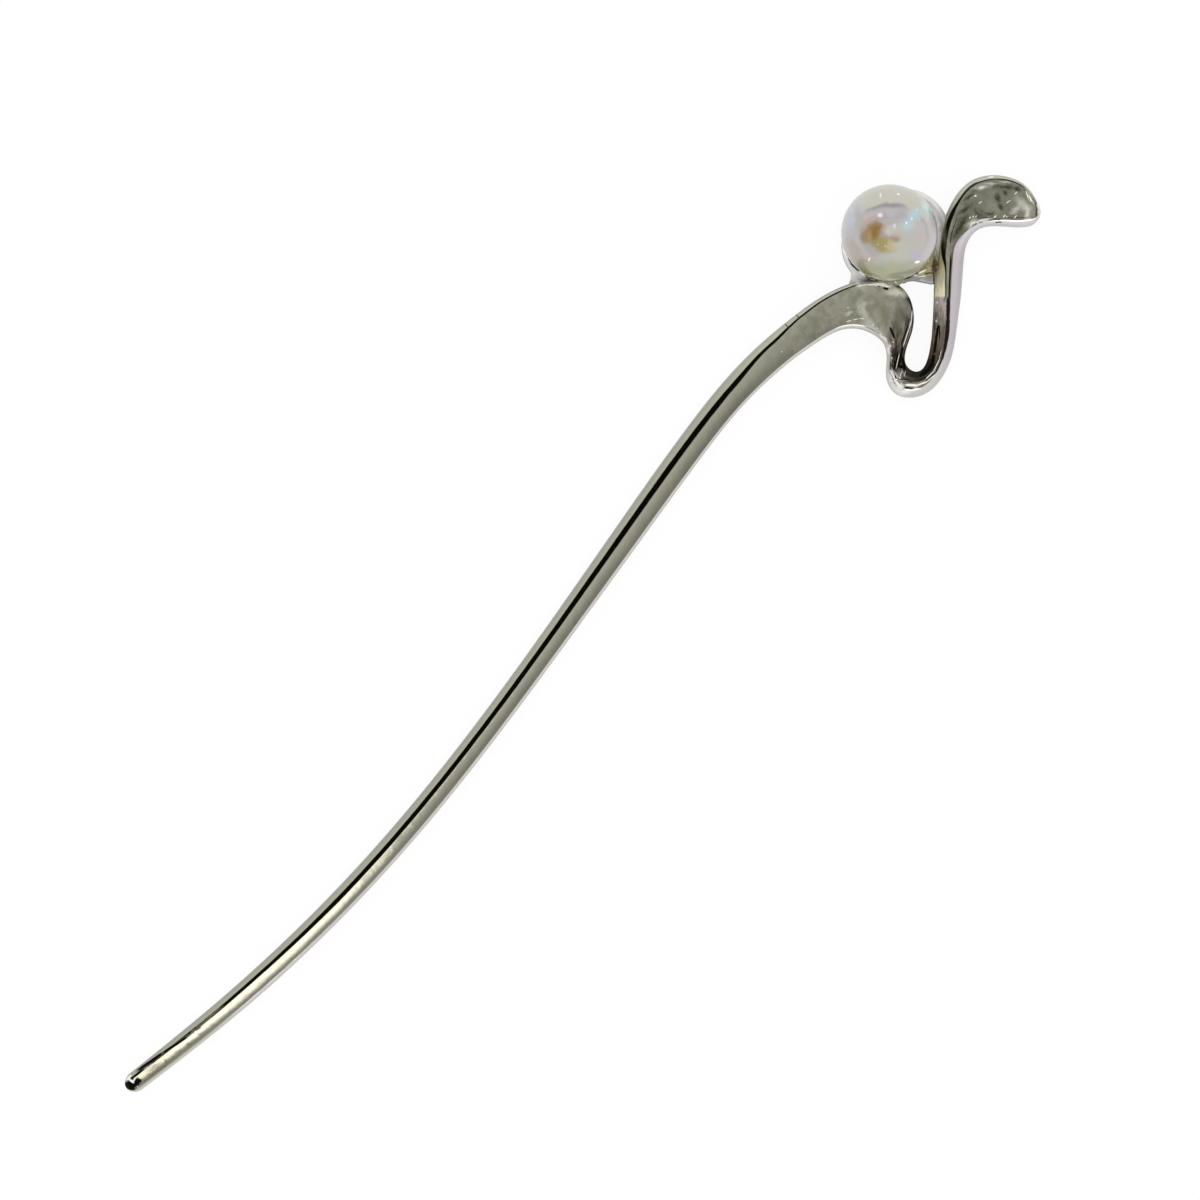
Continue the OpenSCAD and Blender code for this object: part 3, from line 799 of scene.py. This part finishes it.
class Shop:
    """Makes the nodes of one material or of the world."""

    def __init__(self, tree):
        self.tree = tree
        tree.nodes.clear()

    def node(self, kind, settings=None, values=None, out=0):
        """A node with its settings, then the values or wires of its sockets, and one of its outputs."""
        made = self.tree.nodes.new(kind)
        for name, value in (settings or {}).items():
            if name == "stops":
                self.set_stops(made.color_ramp, value)
            else:
                setattr(made, name, value)
        for name, value in (values or {}).items():
            if isinstance(value, Wire):
                self.tree.links.new(value.socket, made.inputs[name])
            else:
                made.inputs[name].default_value = value
        return Wire(self, made.outputs[out]) if made.outputs else made

    def set_stops(self, ramp, stops):
        while len(ramp.elements) < len(stops):
            ramp.elements.new(0.5)
        for element, (place, colour) in zip(ramp.elements, stops):
            element.position = place
            element.color = (*colour, 1.0)

    def step(self, value, low, high, first=0.0, last=1.0):
        """Runs smoothly from 0 at low to 1 at high."""
        return self.node(
            "ShaderNodeMapRange",
            {"interpolation_type": "SMOOTHSTEP", "clamp": False},
            {"Value": value, "From Min": low, "From Max": high, "To Min": first, "To Max": last},
        )

    def fade(self, value, low, high):
        """Runs smoothly from 1 at low to 0 at high."""
        return self.step(value, low, high, 1.0, 0.0)

    def vector(self, operation, first, second):
        return self.node("ShaderNodeVectorMath", {"operation": operation}, {0: first, 1: second})

    def mix(self, share, first, second):
        """The second colour laid over the first, by its share."""
        values = {0: share}
        for slot, colour in ((6, first), (7, second)):
            values[slot] = colour if isinstance(colour, Wire) else (*colour, 1.0)
        return self.node("ShaderNodeMix", {"data_type": "RGBA"}, values, out=2)

    def grain(self, place, scale, detail=2.0, rough=0.5, out=0):
        values = {"Vector": place, "Scale": scale, "Detail": detail, "Roughness": rough}
        return self.node("ShaderNodeTexNoise", {}, values, out)

    def along_ramp(self, along, rows):
        """A colour that changes along the ribbon as the rows say."""
        low, high = rows[0][0], rows[-1][0]
        stops = [((at - low) / (high - low), colour) for at, colour in rows]
        return self.node("ShaderNodeValToRGB", {"stops": stops}, {0: (along - low) / (high - low)})

    def patch(self, place, middle, reach, turn, soft, blunt=False):
        """1 inside an oval and 0 outside it. A blunt one keeps its width towards its ends."""
        own = self.node(
            "ShaderNodeMapping",
            {"vector_type": "TEXTURE"},
            {"Vector": place, "Location": middle, "Rotation": (0.0, 0.0, turn), "Scale": reach},
        )
        if blunt:
            own = self.vector("MULTIPLY", own, own)
        away = self.node("ShaderNodeVectorMath", {"operation": "LENGTH"}, {0: own}, out="Value")
        return self.fade(away, 1 - soft, 1 + soft)

    def strokes(self, place, paths, soft, blunt=True):
        """1 on any of the strokes and 0 between them."""
        marks = []
        for path in paths:
            for at in range(0, len(path) - 2, 3):
                x0, y0, half_width, x1, y1 = path[at:at + 5]
                middle = ((x0 + x1) / 2, (y0 + y1) / 2, RIBBON_H)
                reach = (hypot(x1 - x0, y1 - y0) / 2 + half_width, half_width, MARK_DEPTH)
                marks.append(self.patch(place, middle, reach, atan2(y1 - y0, x1 - x0), soft, blunt))
        # Joined in pairs, because a long chain would leave too many values waiting on the shader's stack
        while len(marks) > 1:
            odd = marks[len(marks) // 2 * 2:]
            marks = [a.larger(b) for a, b in zip(marks[::2], marks[1::2])] + odd
        return marks[0]

    def wobble(self, place, scale, amount, seen=None):
        """The place, pushed about by a noise that is read there or at another place."""
        push = self.vector("SUBTRACT", self.grain(seen or place, scale, out="Color"), (0.5, 0.5, 0.5))
        return self.node(
            "ShaderNodeVectorMath", {"operation": "MULTIPLY_ADD"}, {0: push, 1: (amount,) * 3, 2: place}
        )

    def split(self, vector):
        made = self.tree.nodes.new("ShaderNodeSeparateXYZ")
        self.tree.links.new(vector.socket, made.inputs[0])
        return [Wire(self, output) for output in made.outputs]

    def principled(self, values):
        return self.node("ShaderNodeBsdfPrincipled", {}, values)

    def output(self, surface, kind="ShaderNodeOutputMaterial"):
        self.node(kind, {}, {"Surface": surface})


def new_material(name):
    material = bpy.data.materials.new(name)
    material.use_nodes = True
    return material, Shop(material.node_tree)


def millimetres(shop):
    """Object coordinates in millimetres."""
    place = shop.node("ShaderNodeTexCoord", out="Object")
    return shop.node("ShaderNodeVectorMath", {"operation": "SCALE"}, {0: place, "Scale": 1 / MM})


def in_plan(shop, place):
    """A place in millimetres, measured from the plan's own zero."""
    return shop.vector("SUBTRACT", place, tuple(plan_home / MM))


# Colours of the plating, and of the parts of it that stand out, many of them painted light and shade
PLATING = (0.54, 0.53, 0.45)
PLATING_LIGHT = (0.59, 0.58, 0.505)
MOTTLE = (0.37, 0.37, 0.295)
LEAF_FACE = (0.36, 0.355, 0.29)
# A painted highlight along the rod near the tip
ROD_PAINTED_HIGHLIGHT = (0.68, 0.67, 0.61)
# Painted shade on the left flanks, and painted reflections on the right flanks, of the rod, the head and
# stem, and the leaf
LEFT_ROD_SHADE = (0.4, 0.405, 0.34)
LEFT_HEAD_SHADE = (0.47, 0.465, 0.4)
LEFT_LEAF_SHADE = (0.52, 0.52, 0.47)
RIGHT_ROD_REFLECTION = (0.62, 0.605, 0.57)
RIGHT_STEM_REFLECTION = (0.54, 0.51, 0.53)
RIGHT_LEAF_REFLECTION = (0.66, 0.635, 0.655)
# A dark painted reflection on the right flank near the tip, paler lower down
RIGHT_TIP_REFLECTION = (0.16, 0.18, 0.09)
RIGHT_TIP_EDGE_REFLECTION = (0.5, 0.5, 0.44)
PLATE_INNER = (0.46, 0.44, 0.44)
PLATE_OUTER = (0.74, 0.72, 0.72)
PLATE_FOOT = (0.3, 0.29, 0.25)
OLIVE_SHADE = (0.035, 0.035, 0.014)
# Dark streaks in the painted shade of the face and of the crest side
FACE_STREAK = (0.008, 0.006, 0.004)
SIDE_STREAK = (0.02, 0.017, 0.012)
# Painted dark lines of shade beside the crest and the right rim
PAINTED_EDGE_LINE = (0.005, 0.004, 0.003)

# Painted light and shade, in the order in which the patches lie on the plating.
# Columns: paths, softness, share, colour
PAINTED_LIGHT_AND_SHADE = [
    (GREY_PAINTED_LIGHT, 0.8, 0.9, (0.45, 0.44, 0.385)),
    (OLIVE_PAINTED_SHADE, 0.9, 0.75, (0.15, 0.15, 0.1)),
    (MAUVE_PAINTED_REFLECTION, 0.8, 0.85, (0.12, 0.1, 0.088)),
    (SEPIA_PAINTED_SHADE, 0.8, 0.9, (0.05, 0.035, 0.025)),
    (CREAM_PAINTED_HIGHLIGHT, 0.85, 0.8, (0.68, 0.66, 0.53)),
    (PALE_PAINTED_LIGHT, 0.85, 0.9, (0.82, 0.79, 0.77)),
]

# Colours of the sharper marks that lie over the painted patches: painted dark lines, pits with painted dark
# reflections, and painted highlights
PAINTED_DARK_LINE_TINT = (0.012, 0.011, 0.008)
PITS_AND_DARK_REFLECTIONS_TINT = (0.004, 0.003, 0.002)
GLINT_TINT = (0.92, 0.92, 0.88)


# Below, along is in millimetres from the first row of EDGES, and band is the band of the section.
# A painted layer comes as a pair: its share of the surface, and its colour


def painted_face_shade(shop, along, band, streak):
    """Painted shade on the face, down the arm and into the U-turn, where it reaches less far across."""
    tint = shop.mix(streak * 0.75, shop.along_ramp(along, FACE_SHADE_TINTS), FACE_STREAK)
    reach = 2.2 - 0.75 * shop.step(along, 144.5, 147.5)
    share = shop.step(band, 0.9, 1) * shop.fade(band - reach, -0.15, 0.1)
    return share * shop.step(along, 136, 141) * shop.fade(along, 151, 153.5), tint


def painted_side_light_and_shade(shop, along, band, streak):
    """Painted light and shade on the crest side, from the shoulder's end to the leaf, with dark streaks in
    it.
    """
    share = shop.step(along, 133, 136) * shop.fade(along, 170.5, 174)
    reach = 0.84 + 0.2 * shop.step(along, 143.5, 145)
    reach = reach + 0.85 * shop.step(along, 151, 154) * shop.fade(along, 158.5, 161.5)
    share = share * shop.step(band, 0.02, 0.12) * shop.fade(band - reach, -0.12, 0)
    streak_share = streak * (0.2 + 0.5 * shop.fade(along, 158, 161))
    return share, shop.mix(streak_share, shop.along_ramp(along, SIDE_PAINTED_TINTS), SIDE_STREAK)


def painted_edge_lines(shop, along, band):
    """Painted dark lines of shade beside the crest and the right rim, from the stem to the leaf."""
    wide = 0.2 + 0.32 * shop.step(along, 164.5, 168) * shop.fade(along, 170.5, 173.5)
    wide = wide - 0.05 * shop.step(along, 171.5, 174)
    rim = band - 0.25 * shop.step(along, 160, 161.5) * shop.fade(along, 163.5, 166.5)
    crest = shop.step(rim + wide, 0.92, 1) * shop.fade(rim, 0.97, 1.03) * shop.step(along, 160, 161.5)
    ridge = shop.step(band, 1.6, 1.72) * shop.fade(band, 1.98, 2.03)
    return crest.larger(ridge * shop.step(along, 160, 161) * shop.fade(along, 165.5, 167.5)), PAINTED_EDGE_LINE


def plated_metal():
    """Nickel-grey plating on a polished casting, with its pits, nicks and scratches, and with painted light
    and shade: dark lines, patches and flanks, pale patches and highlights.
    """
    material, shop = new_material("plated_metal")
    mix, step, fade = shop.mix, shop.step, shop.fade
    place = millimetres(shop)
    plan = in_plan(shop, place)
    loose = shop.wobble(plan, 1.3, 0.8)
    # Read at the loose place, so that the shader works on one group of marks after the other
    tight = shop.wobble(plan, 2.5, 0.12, loose)
    along, across, _ = shop.split(shop.node("ShaderNodeUVMap", {"uv_map": "ribbon"}))
    along = along * UV_LENGTH - UV_START * UV_LENGTH
    # The seat has no place along the ribbon, and its UV is 0
    on_ribbon = step(along, -8, -5)
    band = across * UV_BANDS
    leaf = step(along, 165.5, 169)
    mottle = step(shop.grain(place, 0.9, 4, 0.6), 0.35, 0.7)
    colour = mix(shop.grain(place, 0.35, 3), PLATING, PLATING_LIGHT)
    colour = mix(mottle * step(along, 118, 130) * 0.8, colour, MOTTLE)
    colour = mix(leaf * (0.5 + 0.4 * mottle), colour, LEAF_FACE)
    # A painted highlight along the rod near the tip
    colour = mix(step(along, 3, 9) * fade(along, 30, 60), colour, ROD_PAINTED_HIGHLIGHT)
    # Painted shade on the left flanks, painted reflections on the right flanks
    left = fade(band, 0.85, 1) * on_ribbon
    right = step(band, 2, 2.1) * fade(band, 3.2, 3.4)
    left_shade_tint = mix(step(along, 112, 124), LEFT_ROD_SHADE, LEFT_HEAD_SHADE)
    colour = mix(left, colour, mix(leaf, left_shade_tint, LEFT_LEAF_SHADE))
    right_reflection_tint = mix(step(along, 150, 156), RIGHT_ROD_REFLECTION, RIGHT_STEM_REFLECTION)
    colour = mix(right, colour, mix(leaf, right_reflection_tint, RIGHT_LEAF_REFLECTION))
    _, aside, height = shop.split(plan)
    foot = fade(height, 0.7, 1.4)
    plate_tint = mix(step(aside, 5, 8), PLATE_INNER, PLATE_OUTER)
    plate_tint = mix(foot * (0.4 + 0.6 * mottle), plate_tint, PLATE_FOOT)
    colour = mix(on_ribbon, plate_tint, colour)
    shade = shop.strokes(loose, SHADE, 0.9, False) * 0.95
    colour = mix(shade, colour, OLIVE_SHADE)
    # Dark streaks along the ribbon, in the painted shade of the face and the crest side
    streak_place = shop.node("ShaderNodeCombineXYZ", {}, {"X": along * 0.6, "Y": band * 6})
    streak = step(shop.grain(streak_place, 1, 3, 0.6), 0.4, 0.62)
    face, side = painted_face_shade(shop, along, band, streak), painted_side_light_and_shade(shop, along, band, streak)
    # A dark painted reflection along the right flank near the tip
    tip = right * fade(along, 12, 20) * 0.8, mix(step(band, 2.15, 2.5), RIGHT_TIP_REFLECTION, RIGHT_TIP_EDGE_REFLECTION)
    painted_layers = [face, side, tip, painted_edge_lines(shop, along, band)]
    # Patches of painted light and shade, then painted dark lines, pits with painted dark reflections, and
    # painted highlights
    painted_layers += [(shop.strokes(loose, paths, soft, False) * share, tint) for paths, soft, share, tint in PAINTED_LIGHT_AND_SHADE]
    for paths, tint in ((PAINTED_DARK_LINES, PAINTED_DARK_LINE_TINT), (PITS_AND_DARK_REFLECTIONS, PITS_AND_DARK_REFLECTIONS_TINT)):
        painted_layers.append((shop.strokes(tight, paths, 0.4), tint))
    painted_layers.append((shop.strokes(plan, GLINT, 0.55) * 0.9, GLINT_TINT))
    # Where the face's painted shade meets the side's, the two together cover the metal
    matt_share = (face[0] + side[0]).larger(shade * 0.7)
    for share, tint in painted_layers:
        colour = mix(share, colour, tint)
        matt_share = matt_share.larger(share)
    bumps = shop.grain(place, 0.5) * 0.02 + shop.grain(place, 5) * 0.001
    normal = shop.node("ShaderNodeBump", {}, {"Strength": 1.0, "Distance": 0.001, "Height": bumps})
    metal = shop.principled({
        "Base Color": colour,
        "Metallic": 0.35 + 0.65 * on_ribbon.larger(foot),
        "Roughness": 0.06 + (1 - on_ribbon) * 0.24,
        "Normal": normal,
    })
    # A matt layer that shows the painted marks in place of the metal's reflection
    matt_paint = shop.principled(
        {"Base Color": colour, "Roughness": 0.4, "Specular IOR Level": 0.03, "Normal": normal}
    )
    shop.output(shop.node("ShaderNodeMixShader", {}, {0: matt_share, 1: metal, 2: matt_paint}))
    return material


# Colours of the nacre
NACRE = (0.45, 0.44, 0.37)
NACRE_LIGHT = (0.49, 0.475, 0.41)
REFLECTED_DISC_TINT = (0.41, 0.39, 0.395)
ARCH_REFLECTION = (0.18, 0.165, 0.185)
EDGE_REFLECTION = (0.2, 0.2, 0.19)
UNDER_IVORY = (0.5, 0.49, 0.43)
UNDER_LILAC = (0.48, 0.45, 0.49)

# A pale disc, and the ovals inside it that leave a dark arch over it and a fine edge beside it, all painted
# reflections of the room.
# Columns as in NACRE_RING, up to softness
REFLECTED_DISC = (0.04, 0.0, 0.79, 0.62, -5, 0.07)
IN_ARCH = (0.03, -0.03, 0.75, 0.55, -5, 0.14)
IN_EDGE = (0.04, 0.0, 0.765, 0.6, -5, 0.04)


def nacre_bead():
    """Clear nacre with an amber stain and colour play, and with painted light and shade: a pale disc under
    a dark arch, shade towards its bottom and small glints.
    """
    material, shop = new_material("nacre")
    mix, step, fade = shop.mix, shop.step, shop.fade
    place = shop.node("ShaderNodeTexCoord", out="Object")
    own = shop.vector("SUBTRACT", place, tuple(pearl_home))
    own = shop.node("ShaderNodeVectorMath", {"operation": "SCALE"}, {0: own, "Scale": 1 / (pearl_r * MM)})
    rotation = (0.0, 0.0, VIEW_TURN)
    own = shop.node("ShaderNodeMapping", {"vector_type": "POINT"}, {"Vector": own, "Rotation": rotation})
    soft_place = shop.wobble(own, 4.0, 0.16)
    colour = mix(shop.grain(own, 3.0, 3.0), NACRE, NACRE_LIGHT)

    def spot(x, y, a, b, turn, soft, where=soft_place):
        """An oval on the bead's upper half, in radii from its middle."""
        rise = sqrt(max(0.0, 1 - x * x - y * y))
        middle = (x - BEAD_LEAN[0] * rise, y - BEAD_LEAN[1] * rise, rise)
        return shop.patch(where, middle, (a, b, 2 * max(a, b)), radians(turn), soft)

    def spots(colour, rows, where=soft_place):
        for *oval, share, tint in rows:
            colour = mix(spot(*oval, where) * share, colour, tint)
        return colour

    # Round the rim, with painted shade towards the bottom
    colour = spots(colour, NACRE_RING)
    across, up, height = shop.split(own)
    # A pale disc under a dark arch with a fine edge beside it, painted reflections of the room
    reflected_disc = spot(*REFLECTED_DISC) * step(up, -0.65, -0.25)
    colour = mix(reflected_disc * 0.9, colour, REFLECTED_DISC_TINT)
    arch_reflection = reflected_disc * (1 - spot(*IN_ARCH)) * step(up, 0.25, 0.5)
    colour = mix(arch_reflection * fade(across, 0.05, 0.45) * 0.9, colour, ARCH_REFLECTION)
    edge = reflected_disc * (1 - spot(*IN_EDGE)) * step(across, 0.45, 0.6)
    colour = mix(edge * 0.8, colour, EDGE_REFLECTION)
    colour = spots(colour, NACRE_DISC)
    under = mix(shop.grain(own, 1.2), UNDER_IVORY, UNDER_LILAC)
    colour = mix(fade(height, -0.35, 0.22) * 0.85, colour, under)
    # Painted highlights
    colour = spots(colour, NACRE_GLINTS, own)
    clear = {"Base Color": colour, "Roughness": 0.3, "Coat Weight": 1.0, "Coat Roughness": 0.03}
    shop.output(shop.principled(clear))
    return material


# Colours of the glue
RESIN = (0.2, 0.19, 0.11)
RESIN_LIGHT = (0.32, 0.31, 0.2)
RESIN_POCKET = (0.31, 0.275, 0.13)
# A painted shade in the gap beside the stem
RESIN_GAP_SHADE = (0.045, 0.028, 0.005)
RESIN_DARK = (0.04, 0.028, 0.006)
# Painted glints
RESIN_GLINT = (0.92, 0.9, 0.8)


def amber_resin():
    """Yellowed glue, with a brown painted shade in the gap beside the stem."""
    material, shop = new_material("amber_resin")
    place = millimetres(shop)
    own = shop.vector("SUBTRACT", place, tuple(pearl_home / MM))
    loose = shop.wobble(own, 2.0, 0.5)
    colour = shop.mix(shop.grain(place, 1.6, 4.0, 0.6), RESIN, RESIN_LIGHT)
    pocket = shop.patch(loose, (1.05, -6.17, -4.5), (1.3, 1.3, 3.0), 0.0, 0.6)
    colour = shop.mix(pocket * 0.85, colour, RESIN_POCKET)
    # Painted shade in the gap beside the stem
    gap_shade = shop.patch(loose, (1.63, -6.73, -4.5), (1.2, 0.42, 3.0), radians(46.5), 0.45)
    colour = shop.mix(gap_shade, colour, RESIN_GAP_SHADE)
    plan = in_plan(shop, place)
    dark = shop.strokes(plan, GLUE_DARK, 0.6)
    colour = shop.mix(dark * 0.9, colour, RESIN_DARK)
    # Painted glints
    colour = shop.mix(shop.strokes(plan, GLUE_GLINTS, 0.5), colour, RESIN_GLINT)
    shop.output(shop.principled({
        "Base Color": colour,
        "Roughness": 0.15,
        "Specular IOR Level": 0.3,
        "Coat Weight": (1 - gap_shade) * (1 - dark) * 0.6,
    }))
    return material


def pale_table():
    """White card, a little brighter to the camera than its light would make it."""
    material, shop = new_material("pale_table")
    matt = shop.node("ShaderNodeBsdfDiffuse", {}, {"Color": (0.8, 0.8, 0.8, 1)})
    lit = shop.node("ShaderNodeEmission", {}, {"Color": (1.0, 1.0, 1.0, 1), "Strength": 1.02})
    seen = shop.node("ShaderNodeLightPath", out="Is Camera Ray")
    shop.output(shop.node("ShaderNodeMixShader", {}, {0: seen * 0.9, 1: matt, 2: lit}))
    return material


# The camera looks straight down. Its picture is VIEW_W wide at the height VIEW_Z
CAMERA_AT = (5.35, -2.38, 600.0)
VIEW_W = 148.44
VIEW_Z = 1.2


def camera():
    data = bpy.data.cameras.new("camera")
    data.sensor_width = 36.0
    data.lens = data.sensor_width * (CAMERA_AT[2] - VIEW_Z) / VIEW_W
    view = bpy.data.objects.new("camera", data)
    view.location = Vector(CAMERA_AT) * MM
    view.rotation_euler = (0, 0, -VIEW_TURN)
    bpy.context.scene.collection.objects.link(view)
    bpy.context.scene.camera = view


def table():
    mesh = bmesh.new()
    bmesh.ops.create_grid(mesh, x_segments=1, y_segments=1, size=3.0)
    top = object_from(mesh, "table")
    dress(top, pale_table())


# Light in the studio, where 1 is white
DARK_WALL = (0.006, 0.004, 0.0015)
SOFT_BOX = (2.2, 2.15, 2.1)
LAMP = (1.8, 1.75, 1.5)
CEILING = (1.0, 1.0, 0.92)
NEAR_WALL = (1.0, 0.96, 0.98)
FAR_WALL = (1.0, 1.0, 0.9)
FILL = (1.15, 1.15, 1.15)


def studio():
    """A pale room: light low down all round, a dark arc on the far side and a soft box on the near side."""
    world = bpy.data.worlds.new("studio")
    world.use_nodes = True
    bpy.context.scene.world = world
    shop = Shop(world.node_tree)
    mix, step, fade = shop.mix, shop.step, shop.fade
    toward = shop.node("ShaderNodeTexCoord", out="Generated")
    x, y, z = shop.split(toward)
    tilt = z.math("ARCCOSINE", z) * (180 / pi)
    flat = x.math("SQRT", x * x + y * y + 1e-6)

    def facing(azimuth):
        """1 towards an azimuth, 0 square to it and -1 away from it."""
        return (x * cos(radians(azimuth)) + y * sin(radians(azimuth))) / flat

    # The ceiling is lighter on the far side and lightest towards the tip
    ceiling = 0.35 + 0.3 * step(y, -0.24, 0.05) - 0.1 * step(x, -0.05, 0.1)
    lamp = fade(x, -0.13, -0.045) * step(x, -0.22, -0.18) * step(y, -0.24, -0.06)
    behind = step(facing(130), 0.15, 0.5)
    far = step(facing(165), 0.1, 0.95)
    beside = step(facing(5), 0.85, 0.95)
    around = 0.15 + 0.85 * beside.larger(step(facing(120), -0.5, 0.1))
    reach = 22 * behind + 28 * far + 25 * beside
    dark = step(tilt, 11.0, 15.0) * fade(tilt - reach, 27.0, 33.0) * around
    glow = step(facing(-127), 0.9, 0.97) * step(tilt, 18.0, 22.0) * fade(tilt, 42.0, 50.0)
    low = mix(step(facing(100), -0.5, 0.6), NEAR_WALL, FAR_WALL)
    overhead = mix(lamp, mix(ceiling, (0.0, 0.0, 0.0), CEILING), LAMP)
    seen = mix(step(tilt, 22.0, 40.0), overhead, low)
    seen = mix(dark, seen, DARK_WALL)
    seen = mix(glow, seen, SOFT_BOX)
    glossy = shop.node("ShaderNodeLightPath", out="Is Glossy Ray")
    room = shop.node("ShaderNodeBackground", {}, {"Color": mix(glossy, FILL, seen), "Strength": 1.0})
    shop.output(room, "ShaderNodeOutputWorld")


camera()
table()
studio()
hair_stick(plated_metal())
pearl(nacre_bead())
glue_bed(amber_resin())

bpy.context.scene.view_settings.view_transform = "Standard"
